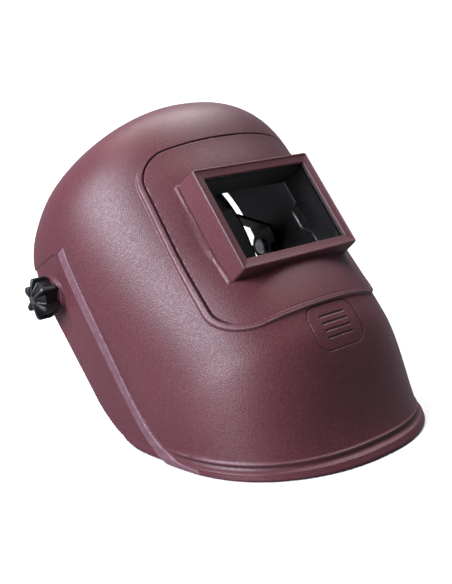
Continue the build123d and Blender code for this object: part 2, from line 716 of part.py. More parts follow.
os.makedirs("parts", exist_ok=True)
for name, solid in parts().items():
    export_step(solid, f"parts/{name}.step")
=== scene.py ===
import math

import bmesh
import bpy
import numpy as np
from mathutils import Matrix, Vector

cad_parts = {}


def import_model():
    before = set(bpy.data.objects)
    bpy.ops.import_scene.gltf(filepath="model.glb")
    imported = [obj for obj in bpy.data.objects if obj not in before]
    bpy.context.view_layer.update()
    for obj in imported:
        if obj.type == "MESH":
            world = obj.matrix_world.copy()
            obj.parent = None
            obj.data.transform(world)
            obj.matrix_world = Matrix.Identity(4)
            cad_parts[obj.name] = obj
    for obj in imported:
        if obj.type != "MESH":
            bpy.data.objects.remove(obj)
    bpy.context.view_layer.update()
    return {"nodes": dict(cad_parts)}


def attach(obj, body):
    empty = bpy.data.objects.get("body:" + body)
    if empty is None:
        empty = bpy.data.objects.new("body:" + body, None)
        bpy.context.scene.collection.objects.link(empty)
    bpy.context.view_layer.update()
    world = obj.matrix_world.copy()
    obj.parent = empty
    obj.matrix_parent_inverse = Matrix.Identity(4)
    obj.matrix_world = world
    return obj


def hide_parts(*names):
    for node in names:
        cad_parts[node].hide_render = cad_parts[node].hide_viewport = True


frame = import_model()

# Welding helmet standing on its rim. Shapes are worked out in millimetres in the helmet's own
# upright frame (+X to the viewer's right, -Y out of the window, +Z up, origin at the middle of
# the window box's outer face) and then leaned back and lowered onto the floor, in metres.

MM = 0.001
LEAN = 35.6            # lean back from upright, degrees
RIM_DROP = 181.14      # origin above the rim plane
CENTRE_SHIFT = -70.5   # origin's place along the floor, which centres the helmet
FAR = 99.0             # stands for the distance to a detail that isn't on this side of the shell

# Shell surface
WALL = 3.0
MID_Y = 125.0          # depth of the widest section
FRONT_Y = 11.6         # front of the face beside the window
REAR_DEPTH = 330.0
TEMPLE_HALF = 123.5
CHEEK_HALF = 109.5
TEMPLE_Z = 60.0
CHEEK_Z = -100.0
CROWN_Z = 138.5
SIDE_DOME_Z = 58.0
SIDE_DOME_POWER = 2.45
FRONT_DOME_Z = 70.0
FRONT_DOME_POWER = 3.4
CROWN_ROLL = 0.004
CROWN_ROLL_Y = 115.0
CROWN_ROLL_RISE = 60.0
SECTION_POWER = 2.2
SECTION_GROWTH = 0.00115
SECTION_GROWTH_Z = 20.0
SECTION_RELAX = 0.0016
SECTION_RELAX_Z = -105.0
CHIN_BULGE = 10.4
CHIN_BULGE_SPAN = 90.0
CHIN_TUCK = 27.5
CHIN_TUCK_Z = -98.0
CHIN_TUCK_SPAN = 100.0
SMALLEST_DEPTH = 0.001
CENTRE_STRIP = 0.03    # share of the half width that is read as straight across

# Edges of the shell, in side view
RIM_Y = 36.0
RIM_Z = -197.0
RIM_SLOPE = math.tan(math.radians(LEAN))
RIM_END_Y = 150.0
PROFILE_FOOT_Z = -215.0
REAR_LOW = (180.5, -55.0)
REAR_HIGH = (166.0, 60.0)
REAR_TURN = (153.0, 104.0)
REAR_CROWN = (126.0, 150.0)
CROWN_HEADING = (-1.0, 1.9)
EDGE_ROUND = 1.3
FREE_EDGE_SHARE = 0.8

# Raised panel: a dark groove, with a low bead outside it that dies out over the brow
FACE_BACK_Y = 110.0    # the panel and the window box lie in front of this depth
PANEL_HALF = 80.0
PANEL_TOP = 77.0
PANEL_BOTTOM = -80.0
PANEL_CORNER = 24.0
PANEL_EDGE = -0.01
PANEL_PROUD = 1.3
PANEL_PROUD_BROW = 0.25
BROW_Z = 48.0
BROW_SPAN = 26.0
BEAD_WIDTH = 5.0
BEAD_PROUD = 2.1
BEAD_SLOPE = 1.8
BEAD_CREST_INSET = 1.9
GROOVE_HALF = 0.95
GROOVE_DEPTH = 1.7
GROOVE_SHALLOW = 0.15
GROOVE_END_Z = -76.0
GROOVE_END_SPAN = 12.0

# Window box
BOX_HALF_X = 60.0
BOX_HALF_Z = 43.75
BOX_FLARE = 1.25
BOX_FLARE_AT_FACE = 0.75
BOX_CORNER = 1.5
BOX_DEPTH = 36.0
BOX_LIP = 3.0
OPEN_HALF_X = 52.5
OPEN_HALF_Z = 35.35
POCKET_HALF_X = 56.5
POCKET_HALF_Z = 40.25
LEDGE_WIDTH = 2.0
LEDGE_PROUD = 0.9
LEDGE_OVERLAP = 0.4
LEDGE_SLOPE = 1.6
LEDGE_REACH = 0.6
LEDGE_END_INSET = 0.5
LEDGE_END_SLOPE = 1.5
HOLE_HALF_X = 58.3
HOLE_HALF_Z = 42.0
HOLE_CORNER = 1.0
HOLE_INSET = 1.5       # about how far the hole lies inside the box's wall

# Window box's section, as rings of (growth past a half size, corner radius, depth): up the outer
# wall and over the front edge, into the opening, and back along the pocket for the lens
BOX_WALL_RINGS = (
    (BOX_FLARE, 2.4, BOX_DEPTH), (0.06, 2.0, 1.5), (-0.1, 1.9, 0.6), (-0.45, 1.7, 0.1),
    (-0.9, 1.4, 0.0), (-1.5, 1.2, 0.05), (-1.8, 1.1, 0.5), (-2.2, 1.0, 0.65),
)
BOX_OPENING_RINGS = ((1.0, 1.6, 0.65), (0.3, 1.3, 0.8), (0.0, 1.1, 1.3), (0.0, 1.0, BOX_LIP))
BOX_POCKET_RINGS = ((0.0, 1.0, BOX_LIP), (0.0, 1.0, BOX_DEPTH - 0.5), (0.5, 1.2, BOX_DEPTH))

# Plain moulded stamp below the panel: an outline round four bars
STAMP_X = -3.5
STAMP_Z = -102.5
STAMP_HALF_X = 23.5
STAMP_HALF_Z = 17.5
STAMP_CORNER = 10.0
STAMP_BACK_Y = 80.0
STAMP_LINE = 0.8
STAMP_DEPTH = 0.6
BAR_COUNT = 4
BAR_STEP = 5.6
BAR_HALF_X = 13.0
BAR_HALF_Z = 0.7
BAR_OVERLAP = 0.3
BAR_SLOPE = 0.7

# Side bands, with their rear and front edges as (height, depth) points
SIDE_X = 60.0          # the bands and the recesses lie outside this distance from the centre
BAND_FOOT_Z = -150.0
BAND_CURVE_TOP_Z = 90.0
BAND_REAR = (
    (BAND_FOOT_Z, 110), (-125, 131), (-98, 139), (-68, 138), (-25, 132.5), (21, 122), (62, 114),
)
BAND_FRONT = (
    (BAND_FOOT_Z, 94), (-132, 116), (-98, 128.5), (-68, 129), (-25, 122), (21, 111.5), (62, 104),
)
BAND_CURVES = [np.polyfit(*zip(*edge), 4) for edge in (BAND_FRONT, BAND_REAR)]
BAND_PROUD = 1.7
BAND_OVERLAP = 0.2
BAND_SLOPE = 0.9
BAND_EDGE_INSET = 0.4
BAND_TAIL_SPAN = 16.0
BAND_TOP_Z = 54.0
BAND_CREST_INSET = 0.8
BAND_CREASE_GAP = 0.9

# Recess behind each band, below a line from the band's top to the rear edge
RECESS_TOP = ((100, 47), (110, 51), (125, 59), (160, 66), (180, 70))
RECESS_DEPTH = 1.3
RECESS_SLOPE = 1.6
RECESS_FRONT_OVERLAP = 0.4
RECESS_FRONT_SLOPE = 1.4
RECESS_FADE = 0.5
RECESS_FADE_Z = 30.0
RECESS_FADE_SPAN = 90.0
RECESS_FRONT_Y = 100.0

# Rim lip, by height over the floor, with a bead and a hollow above it; all three are strong round
# the chin and weak at the sides
LIP_HEIGHT = 7.5
LIP_PROUD = 2.5
LIP_SLOPE = 2.6
LIP_BEAD_HEIGHT = 11.5
LIP_BEAD_PROUD = 0.8
LIP_BEAD_HALF = 0.9
LIP_HOLLOW_HEIGHT = LIP_HEIGHT + 1.6
LIP_HOLLOW_DEPTH = 0.5
LIP_HOLLOW_HALF = 1.1
LIP_AT_SIDES = 0.25
CHIN_END_Y = 96.0
CHIN_END_SPAN = 30.0

# Painted highlights along crests and painted shade in creases: (strength, half width) of a line,
# or a strength alone
BEAD_HIGHLIGHT = (0.4, 0.8)
# the whole band is painted lighter as well, a painted highlight on its face
BAND_HIGHLIGHT = 0.35
BAND_FRONT_HIGHLIGHT = (0.65, 0.5)
BAND_REAR_HIGHLIGHT = (0.45, 0.5)
BAND_SHADE = (0.5, 0.6)
LIP_HIGHLIGHT = (0.4, 0.7)
LIP_SHADE = (0.6, 0.8)
GROOVE_SHADE = 0.8
STAMP_SHADE = 0.6

# Pivots
PIVOT_Y = 154.0
PIVOT_Z = 36.0
BOSS_RADIUS = 15.0
BOSS_BLEND = 2.0
BOSS_OUTER = 123.9
BOSS_INNER = 118.4

# Knobs
KNOB_INNER = 125.6
KNOB_OUTER = 141.5
KNOB_RADIUS = 17.2
KNOB_RIBS = 6
KNOB_RIB_POWER = 7     # how narrow the ribs are
KNOB_RIB_GAIN = 1.25   # how flat their tops are
KNOB_SIDE = 0.74       # share of the length that the straight side takes
KNOB_CORE = 0.80       # radius in the hollows, as a share of the radius over the ribs
KNOB_CHAMFER = 0.96
KNOB_CHAMFER_SHARE = 0.07
KNOB_HUB_SPAN = 0.75
KNOB_SINK = 2.6        # how deep the hollows run over the domed end
KNOB_SINK_START = 0.5
KNOB_SINK_SPAN = 0.4
# The knob's ribs and hub get a painted highlight, shaped by these four numbers
KNOB_HIGHLIGHT_POWER = 40    # how narrow the painted highlight line on each rib is
KNOB_HIGHLIGHT_HUB = 0.22
KNOB_HIGHLIGHT_FADE = 0.1
KNOB_HIGHLIGHT_CLEAR = 0.05
KNOB_RECESS_RADIUS = 12.0
KNOB_RECESS = 2.0
KNOB_BORE_RADIUS = 3.2
KNOB_BORE_END = 137.0

# Steps of the shell's parameter sheet: even ones, and the fine ones along the rim and free edges
SHEET_ROW = 3.2
SHEET_COLUMN = 3.0
HALF_GIRTH = 210.0
RIM_ROW = 0.55
RIM_ROWS = 46
CROWN_ROW = 0.7
REAR_COLUMN = 0.5
EDGE_STEPS = 4
SMALLEST_SHARE = 0.004

# The mesh is made twice as fine within each of these distances of the hole and of the detail
HOLE_REACHES = (4.0, 2.0)
DETAIL_REACHES = (9.0, 4.5, 2.2)
STAMP_NEARNESS = 0.5   # the whole stamp counts as this near to detail

# Pads, in metres, and the frames that their cloth settles over
PAD_VOXEL = 0.004
PAD_SHRINK = 0.0006
PAD_SWELL = 0.0012     # furthest that a point may move
CLOTH_FRAMES = 20

STAND = Matrix.Translation((0, CENTRE_SHIFT * MM, RIM_DROP * MM)) @ Matrix.Rotation(
    math.radians(-LEAN), 4, "X"
)


# --- shell surface ------------------------------------------------------------------------------


def smooth(t):
    """Rise from 0 to 1 that is level at both ends."""
    t = np.clip(t, 0.0, 1.0)
    return t * t * (3.0 - 2.0 * t)


def bell(distance, strength, half):
    """Soft line of a strength and a half width, at a distance from its middle."""
    return strength * np.exp(-((distance / half) ** 2))


def front_y(z):
    """Depth of the face on the centre line, below the crown's dome."""
    bulge = CHIN_BULGE * smooth(-z / CHIN_BULGE_SPAN)
    tuck = CHIN_TUCK * smooth((CHIN_TUCK_Z - z) / CHIN_TUCK_SPAN)
    return FRONT_Y - bulge + tuck


def closing(z, start, power):
    """Share of a width that is left as the crown closes over."""
    s = np.clip((z - start) / (CROWN_Z - start), 0.0, 1.0)
    return (1.0 - s**power) ** (1.0 / power)


def crown_drop(y):
    """How far the crown has rolled down behind its highest part."""
    return CROWN_ROLL * np.maximum(0.0, y - CROWN_ROLL_Y) ** 2


def half_width(y, z):
    """Distance of the shell's outer surface from the centre plane."""
    z = z + crown_drop(y) * smooth(z / CROWN_ROLL_RISE)
    cheek = smooth((z - CHEEK_Z) / (TEMPLE_Z - CHEEK_Z))
    width = CHEEK_HALF + (TEMPLE_HALF - CHEEK_HALF) * cheek
    width = width * closing(z, SIDE_DOME_Z, SIDE_DOME_POWER)
    power = SECTION_POWER + SECTION_GROWTH * np.maximum(0.0, SECTION_GROWTH_Z - z)
    power = power - SECTION_RELAX * np.maximum(0.0, SECTION_RELAX_Z - z)
    depth = (MID_Y - front_y(z)) * closing(z, FRONT_DOME_Z, FRONT_DOME_POWER)
    ahead = (MID_Y - y) / np.maximum(depth, SMALLEST_DEPTH)
    behind = (y - MID_Y) / REAR_DEPTH
    reach = np.clip(np.where(y < MID_Y, ahead, behind), 0.0, 1.0)
    return width * (1.0 - reach**power) ** (1.0 / power)


def rim_z(y):
    """Height of the rim plane at a depth."""
    return RIM_Z + RIM_SLOPE * (y - RIM_Y)


class Line:
    """A side-view line through many points, read by its share of the length."""

    def __init__(self, points):
        self.points = np.asarray(points, float)
        steps = np.linalg.norm(np.diff(self.points, axis=0), axis=1)
        self.travel = np.concatenate([[0.0], np.cumsum(steps)])
        self.length = self.travel[-1]

    def at(self, share):
        """Side-view places at shares of the length."""
        where = np.asarray(share) * self.length
        return [np.interp(where, self.travel, self.points[:, k]) for k in (0, 1)]

    def distance(self, y, z):
        """Distance of side-view points from the line."""
        best = np.full(np.shape(y), np.inf)
        for (start_y, start_z), (run_y, run_z) in zip(self.points, np.diff(self.points, axis=0)):
            along = (y - start_y) * run_y + (z - start_z) * run_z
            t = np.clip(along / (run_y * run_y + run_z * run_z), 0.0, 1.0)
            off_y, off_z = y - start_y - t * run_y, z - start_z - t * run_z
            best = np.minimum(best, np.hypot(off_y, off_z))
        return best


def hermite(a, b, lean_a, lean_b, count=12):
    """Smooth stretch between two points with a direction at each end."""
    t = np.linspace(0.0, 1.0, count)[:, None]
    a, b = np.array(a, float), np.array(b, float)
    reach = np.linalg.norm(b - a)
    lean_a = np.array(lean_a, float) / np.linalg.norm(lean_a) * reach
    lean_b = np.array(lean_b, float) / np.linalg.norm(lean_b) * reach
    return (
        a * (2 * t**3 - 3 * t**2 + 1) + lean_a * (t**3 - 2 * t**2 + t)
        + b * (3 * t**2 - 2 * t**3) + lean_b * (t**3 - t**2)
    )


def crown_edge():
    """Rear edge of the crown, from the rear edge's top up to the centre line."""
    up = (REAR_HIGH[0] - REAR_LOW[0], REAR_HIGH[1] - REAR_LOW[1])
    middle = (REAR_CROWN[0] - REAR_HIGH[0], REAR_CROWN[1] - REAR_HIGH[1])
    low = hermite(REAR_HIGH, REAR_TURN, up, middle)
    high = hermite(REAR_TURN, REAR_CROWN, middle, CROWN_HEADING, 40)
    points = np.concatenate([low, high[1:]])
    height = points[:, 1] + crown_drop(points[:, 0])
    last = np.argmax(height > CROWN_Z)
    share = (CROWN_Z - height[last - 1]) / (height[last] - height[last - 1])
    top = points[last - 1] + (points[last] - points[last - 1]) * share
    return np.concatenate([points[:last], [top]])


def corner_arc():
    """Arc from the rim's rear end round to the foot of the rear edge."""
    start = np.array((RIM_END_Y, rim_z(RIM_END_Y)))
    tangent = np.array((1.0, RIM_SLOPE)) / math.hypot(1.0, RIM_SLOPE)
    normal = np.array((-tangent[1], tangent[0]))
    chord = np.array(REAR_LOW) - start
    radius = chord @ chord / (2 * chord @ normal)
    turn = 2 * math.atan2(chord @ normal, chord @ tangent)
    angles = np.linspace(0.0, turn, 16)[:, None]
    return start + radius * (np.sin(angles) * tangent + (1 - np.cos(angles)) * normal)


def profile(top_y):
    """Centre line from the rim's front up the face and over the crown."""
    z = np.linspace(PROFILE_FOOT_Z, FRONT_DOME_Z, 1500)
    face = np.stack([front_y(z), z], 1)
    face = face[face[:, 1] >= rim_z(face[:, 0])]
    angle = np.linspace(0.0, math.pi / 2, 900)[1:]
    rise = FRONT_DOME_Z + (CROWN_Z - FRONT_DOME_Z) * np.sin(angle) ** (2 / FRONT_DOME_POWER)
    back = MID_Y - (MID_Y - FRONT_Y) * np.cos(angle) ** (2 / FRONT_DOME_POWER)
    dome = np.stack([back, rise], 1)
    run = np.linspace(MID_Y, top_y, 8)[1:]
    flat = np.stack([run, np.full(len(run), CROWN_Z)], 1)
    over = np.concatenate([dome, flat])
    over[:, 1] -= crown_drop(over[:, 0])
    return np.concatenate([face, over])


# The smooth shell hangs between four lines in side view: the centre line, the rear edge, the
# crown's edge and, from the first point of the centre line to that of the rear edge, the rim.
CROWN = crown_edge()
TOP = CROWN[-1]
PROFILE = Line(profile(TOP[0]))
REAR = Line(np.concatenate([corner_arc(), [REAR_HIGH]]))
CROWN_LINE = Line(CROWN[::-1])
FREE_EDGE = Line(np.concatenate([REAR.points, CROWN[1:]]))


def side_place(c, v):
    """Side-view place of a point at c >= 0 between the centre line and the rear edge."""
    u = 1.0 - np.cos(np.radians(90.0 * c))
    front = PROFILE.at(v)
    rear = REAR.at(v)
    over = CROWN_LINE.at(u)
    place = []
    for k in (0, 1):
        corners = (1 - u) * TOP[k] + u * REAR_HIGH[k]
        place.append((1 - u) * front[k] + u * rear[k] + v * (over[k] - corners))
    return place


def surface(c, v):
    """Shell point at c, from -1 at the left edge to 1 at the right, and v, from rim to crown."""
    y, z = side_place(np.abs(c), v)
    off_centre = np.maximum(np.abs(c), CENTRE_STRIP)
    x = half_width(*side_place(off_centre, v)) * np.clip(c / CENTRE_STRIP, -1.0, 1.0)
    return np.stack([x, y, z], -1)


def surface_normal(c, v):
    """Outward direction of the smooth shell."""
    step = 0.002
    across = surface(np.minimum(c + step, 1.0), v) - surface(np.maximum(c - step, -1.0), v)
    along = surface(c, np.minimum(v + step, 1.0)) - surface(c, np.maximum(v - step, 0.0))
    normal = np.cross(across, along)
    return normal / np.linalg.norm(normal, axis=-1, keepdims=True)


# --- relief on the shell ------------------------------------------------------------------------


def rounded_distance(x, z, half_x, bottom, top, corner):
    """Signed distance from a rounded rectangle seen from the front, negative inside."""
    qx = np.abs(x) - (half_x - corner)
    qz = np.abs(z - (top + bottom) / 2) - ((top - bottom) / 2 - corner)
    outside = np.hypot(np.maximum(qx, 0), np.maximum(qz, 0))
    return outside + np.minimum(np.maximum(qx, qz), 0) - corner


def panel_distance(p):
    """Distance outside the raised panel's groove."""
    d = rounded_distance(p[..., 0], p[..., 2], PANEL_HALF, PANEL_BOTTOM, PANEL_TOP, PANEL_CORNER)
    return np.where(p[..., 1] < FACE_BACK_Y, d, FAR)


def box_distance(p):
    """Distance outside the window box's wall, where it meets the face."""
    half_x, half_z = BOX_HALF_X + BOX_FLARE_AT_FACE, BOX_HALF_Z + BOX_FLARE_AT_FACE
    d = rounded_distance(p[..., 0], p[..., 2], half_x, -half_z, half_z, BOX_CORNER)
    return np.where(p[..., 1] < FACE_BACK_Y, d, FAR)


def stamp_distance(p):
    """Distance outside the stamp's outline."""
    low, high = STAMP_Z - STAMP_HALF_Z, STAMP_Z + STAMP_HALF_Z
    d = rounded_distance(p[..., 0] - STAMP_X, p[..., 2], STAMP_HALF_X, low, high, STAMP_CORNER)
    return np.where(p[..., 1] < STAMP_BACK_Y, d, FAR)


def band_offset(p):
    """Distances inside the side band from its front, rear and top edges."""
    z = p[..., 2]
    curve_z = np.clip(z, BAND_FOOT_Z, BAND_CURVE_TOP_Z)
    front, rear = [np.polyval(curve, curve_z) for curve in BAND_CURVES]
    return p[..., 1] - front, rear - p[..., 1], BAND_TOP_Z - z


def recess_line(p):
    """Distance below the line from the band's top to the rear edge, in side view."""
    return np.interp(p[..., 1], *zip(*RECESS_TOP)) - p[..., 2]


def pivot_distance(p):
    """Distance from the pivots' axis."""
    return np.hypot(p[..., 1] - PIVOT_Y, p[..., 2] - PIVOT_Z)


def above_floor(p):
    """Height over the rim plane."""
    lean = math.radians(LEAN)
    return RIM_DROP + p[..., 2] * math.cos(lean) - p[..., 1] * math.sin(lean)


def panel_relief(p):
    """Height, painted highlight and painted shade of the panel, its groove and its bead."""
    d = panel_distance(p)
    below_brow = 1.0 - smooth((p[..., 2] - BROW_Z) / BROW_SPAN)
    height = BEAD_PROUD * below_brow * smooth((BEAD_WIDTH - d) / BEAD_SLOPE) * (d > PANEL_EDGE)
    panel = PANEL_PROUD_BROW * (1 - below_brow) + PANEL_PROUD * below_brow
    height += panel * (d <= PANEL_EDGE)
    groove = 1.0 - smooth(np.abs(d) / GROOVE_HALF)
    deep = smooth((p[..., 2] - GROOVE_END_Z) / GROOVE_END_SPAN)
    height = height - (GROOVE_DEPTH * deep + GROOVE_SHALLOW) * groove
    # Painted highlight along the bead's crest; the groove gets painted shade.
    painted_tone = bell(d - BEAD_WIDTH + BEAD_CREST_INSET, *BEAD_HIGHLIGHT) * below_brow
    return height, painted_tone, GROOVE_SHADE * groove * deep


def ledge_relief(p):
    """Height of the narrow ledge along the window box's two sides."""
    past_end = np.abs(p[..., 2]) - BOX_HALF_Z + LEDGE_END_INSET
    on_side = 1.0 - smooth(past_end / LEDGE_END_SLOPE)
    inside = LEDGE_WIDTH + LEDGE_OVERLAP - box_distance(p)
    return LEDGE_PROUD * on_side * smooth(inside / LEDGE_SLOPE)


def band_relief(p):
    """Height, painted highlight and painted shade of the side bands and of the recesses behind
    them.
    """
    z = p[..., 2]
    past_front, before_rear, below = band_offset(p)
    inside = np.minimum(np.minimum(past_front, before_rear), below)
    side = np.abs(p[..., 0]) > SIDE_X
    tail = smooth((z - BAND_FOOT_Z) / BAND_TAIL_SPAN)
    band = BAND_PROUD * tail * smooth((inside + BAND_OVERLAP) / BAND_SLOPE)
    behind = smooth((RECESS_FRONT_OVERLAP - before_rear) / RECESS_FRONT_SLOPE)
    fade = 1.0 - RECESS_FADE * smooth((RECESS_FADE_Z - z) / RECESS_FADE_SPAN)
    recess = RECESS_DEPTH * smooth(recess_line(p) / RECESS_SLOPE) * behind * fade
    # Painted highlight: the band is painted lighter all over and along its front and rear edges.
    painted_tone = BAND_HIGHLIGHT + bell(past_front - BAND_CREST_INSET, *BAND_FRONT_HIGHLIGHT)
    painted_tone += bell(before_rear - BAND_CREST_INSET, *BAND_REAR_HIGHLIGHT)
    # Painted shade in a thin line just in front of the band.
    painted_shade = bell(past_front + BAND_CREASE_GAP, *BAND_SHADE) * side * (below > 0)
    return (band - recess) * side, painted_tone * side * smooth(inside / 0.5), painted_shade


def lip_relief(p):
    """Height, painted highlight and painted shade of the rim's lip, with the hollow and the bead
    above it.
    """
    t = above_floor(p)
    chin = 1.0 - smooth((p[..., 1] - CHIN_END_Y) / CHIN_END_SPAN)
    lip = LIP_PROUD * smooth((LIP_HEIGHT - t) / LIP_SLOPE)
    bead = bell(t - LIP_BEAD_HEIGHT, LIP_BEAD_PROUD, LIP_BEAD_HALF)
    hollow = bell(t - LIP_HOLLOW_HEIGHT, LIP_HOLLOW_DEPTH, LIP_HOLLOW_HALF)
    height = (lip + bead - hollow) * (LIP_AT_SIDES + (1 - LIP_AT_SIDES) * chin)
    # Painted highlight along the bead and painted shade in the hollow, strongest round the chin.
    painted_tone = bell(t - LIP_BEAD_HEIGHT, *LIP_HIGHLIGHT) * chin
    return height, painted_tone, bell(t - LIP_HOLLOW_HEIGHT, *LIP_SHADE) * chin


def edge_rounding(p):
    """How far the surface drops where the rim and the free edges are rounded over."""
    rim = np.clip(EDGE_ROUND - above_floor(p), 0.0, EDGE_ROUND)
    free = np.clip(EDGE_ROUND - FREE_EDGE.distance(p[..., 1], p[..., 2]), 0.0, EDGE_ROUND)
    rim_drop, free_drop = [EDGE_ROUND - np.sqrt(EDGE_ROUND**2 - d**2) for d in (rim, free)]
    return rim_drop + FREE_EDGE_SHARE * free_drop


def stamp_mark(p):
    """Strength of the stamp's sunk lines."""
    stamp = stamp_distance(p)
    mark = 1.0 - smooth(np.abs(stamp) / STAMP_LINE)
    for i in range(BAR_COUNT):
        middle = STAMP_Z + BAR_STEP * (i - (BAR_COUNT - 1) / 2)
        low, high = middle - BAR_HALF_Z, middle + BAR_HALF_Z
        bar = rounded_distance(p[..., 0] - STAMP_X, p[..., 2], BAR_HALF_X, low, high, BAR_HALF_Z)
        sunk = 1.0 - smooth((bar + BAR_OVERLAP) / BAR_SLOPE)
        mark = np.maximum(mark, sunk * (stamp < 0))
    return mark


def relief(p):
    """How far the detail stands out of the smooth shell, and its painted tone: painted highlights
    (+) and painted shade (-).
    """
    panel, panel_highlight, panel_shade = panel_relief(p)
    band, band_highlight, band_shade = band_relief(p)
    lip, lip_highlight, lip_shade = lip_relief(p)
    mark = stamp_mark(p)
    height = panel + ledge_relief(p) + band + lip - edge_rounding(p) - STAMP_DEPTH * mark
    tone = np.maximum(panel_highlight, band_highlight) - band_shade
    tone = np.maximum(tone, lip_highlight) - lip_shade
    # The stamp's sunk lines get painted shade as well.
    return height, tone - np.maximum(panel_shade, STAMP_SHADE * mark)


def feature_distance(p):
    """Rough distance to the nearest sharp detail, which sets how fine the mesh is."""
    panel = panel_distance(p)
    stamp = stamp_distance(p)
    side = np.abs(p[..., 0]) > SIDE_X
    behind = side & (p[..., 1] > RECESS_FRONT_Y)
    ledge_edge = LEDGE_WIDTH + LEDGE_OVERLAP - LEDGE_SLOPE / 2
    distances = (
        np.abs(panel),
        np.abs(panel - BEAD_WIDTH + BEAD_SLOPE / 2),
        np.where(stamp < 0, STAMP_NEARNESS, stamp),
        np.where(side, np.abs(np.minimum.reduce(band_offset(p)) - BAND_EDGE_INSET), FAR),
        np.where(behind, np.abs(recess_line(p) - RECESS_SLOPE / 2), FAR),
        np.abs(box_distance(p) - ledge_edge) - LEDGE_REACH,
        np.where(side, np.abs(pivot_distance(p) - BOSS_RADIUS - BOSS_BLEND / 2), FAR),
    )
    return np.minimum.reduce(distances)


def seated(p, ring, radius, level):
    """The points, with those within a radius of the pivot drawn to one level across."""
    seat = 1.0 - smooth((ring - radius) / BOSS_BLEND)
    p[..., 0] += seat * (np.sign(p[..., 0]) * level - p[..., 0])
    return p


def outer_position(c, v):
    """Moulded outer surface and its painted tone: painted highlights on crests, painted shade in
    creases.
    """
    plain = surface(c, v)
    height, painted_tone = relief(plain)
    p = plain + surface_normal(c, v) * height[..., None]
    return seated(p, pivot_distance(plain), BOSS_RADIUS, BOSS_OUTER), painted_tone


def inner_position(c, v):
    """Plain inner surface, one wall thickness in."""
    p = surface(c, v) - surface_normal(c, v) * WALL
    return seated(p, pivot_distance(p), BOSS_RADIUS + BOSS_BLEND, BOSS_INNER)


# --- mesh helpers -------------------------------------------------------------------------------


def graded(length, fine, step, count):
    """Shares of a length with closely spaced stations near its start, then an even step."""
    start = np.arange(count) * fine
    rest = np.linspace(start[-1] + fine, length, max(2, int((length - start[-1]) / step)))
    return np.concatenate([start, rest]) / length


def parameter_sheet():
    """Grid of faces in (c, v), finer along the rim and the free edges."""
    rows = graded(PROFILE.length, RIM_ROW, SHEET_ROW, RIM_ROWS)
    tail = 1.0 - (np.arange(EDGE_STEPS) * CROWN_ROW / PROFILE.length)[::-1]
    rows = np.concatenate([rows[rows < tail[0] - SMALLEST_SHARE], tail])
    right = 1.0 - graded(HALF_GIRTH, REAR_COLUMN, SHEET_COLUMN, EDGE_STEPS)[::-1]
    right = right[right > SMALLEST_SHARE]
    columns = np.concatenate([-right[::-1], [0.0], right])
    bm = bmesh.new()
    grid = [[bm.verts.new((c, v, 0.0)) for c in columns] for v in rows]
    for low, high in zip(grid, grid[1:]):
        for j in range(len(columns) - 1):
            bm.faces.new((low[j], low[j + 1], high[j + 1], high[j]))
    return bm


def face_places(bm):
    """Shell points under the centres of a parameter sheet's faces."""
    centres = np.array([f.calc_center_median()[:2] for f in bm.faces])
    return surface(centres[:, 0], centres[:, 1])


def refine(bm, wanted):
    """Split the wanted faces in four, without cutting the sheet's open edges."""
    chosen = [f for f, yes in zip(bm.faces, wanted) if yes]
    edges = dict.fromkeys(e for f in chosen for e in f.edges if not e.is_boundary)
    bmesh.ops.subdivide_edges(bm, edges=list(edges), cuts=1, use_grid_fill=True)


def mesh_object(name, points, faces, material, smooth_angle=35.0):
    """Object in the row frame from points in metres."""
    mesh = bpy.data.meshes.new(name)
    mesh.from_pydata([tuple(p) for p in points], [], faces)
    mesh.validate()
    mesh.shade_smooth()
    mesh.set_sharp_from_angle(angle=math.radians(smooth_angle))
    obj = bpy.data.objects.new(name, mesh)
    bpy.context.scene.collection.objects.link(obj)
    mesh.materials.append(material)
    return obj


def point_values(obj, name, values):
    """Store one number per point, for the materials to read."""
    attribute = obj.data.attributes.new(name, "FLOAT", "POINT")
    attribute.data.foreach_set("value", np.asarray(values, np.float32))


def placed(points):
    """Millimetre points in the helmet frame, in metres in the row frame."""
    stand = np.array(STAND)
    return (np.asarray(points) * MM) @ stand[:3, :3].T + stand[:3, 3]


def ring_outline(half_x, half_z, corner, steps=4):
    """Rounded rectangle, anticlockwise as seen from the front, as (x, z) points."""
    points = []
    for k, (sx, sz) in enumerate(((1, -1), (1, 1), (-1, 1), (-1, -1))):
        for i in range(steps + 1):
            a = math.radians(90.0 * (k - 1) + 90.0 * i / steps)
            x = sx * (half_x - corner) + corner * math.cos(a)
            z = sz * (half_z - corner) + corner * math.sin(a)
            points.append((x, z))
    return points


def ring_faces(low, high, count):
    """Faces between two rings of points, given by the number of each ring's first point."""
    after = [(i + 1) % count for i in range(count)]
    return [(low + i, low + k, high + k, high + i) for i, k in enumerate(after)]


# --- shell --------------------------------------------------------------------------------------


def window_box():
    """The frame round the window, as a closed loft of rounded rectangles."""
    stretches = (
        (BOX_HALF_X, BOX_HALF_Z, BOX_WALL_RINGS),
        (OPEN_HALF_X, OPEN_HALF_Z, BOX_OPENING_RINGS),
        (POCKET_HALF_X, POCKET_HALF_Z, BOX_POCKET_RINGS),
    )
    rings = []
    for half_x, half_z, section in stretches:
        for growth, corner, depth in section:
            outline = ring_outline(half_x + growth, half_z + growth, corner)
            rings.append([(x, depth, z) for x, z in outline])
    count = len(rings[0])
    faces = []
    for i in range(len(rings)):
        faces += ring_faces(i * count, (i + 1) % len(rings) * count, count)
    return [point for ring in rings for point in ring], faces


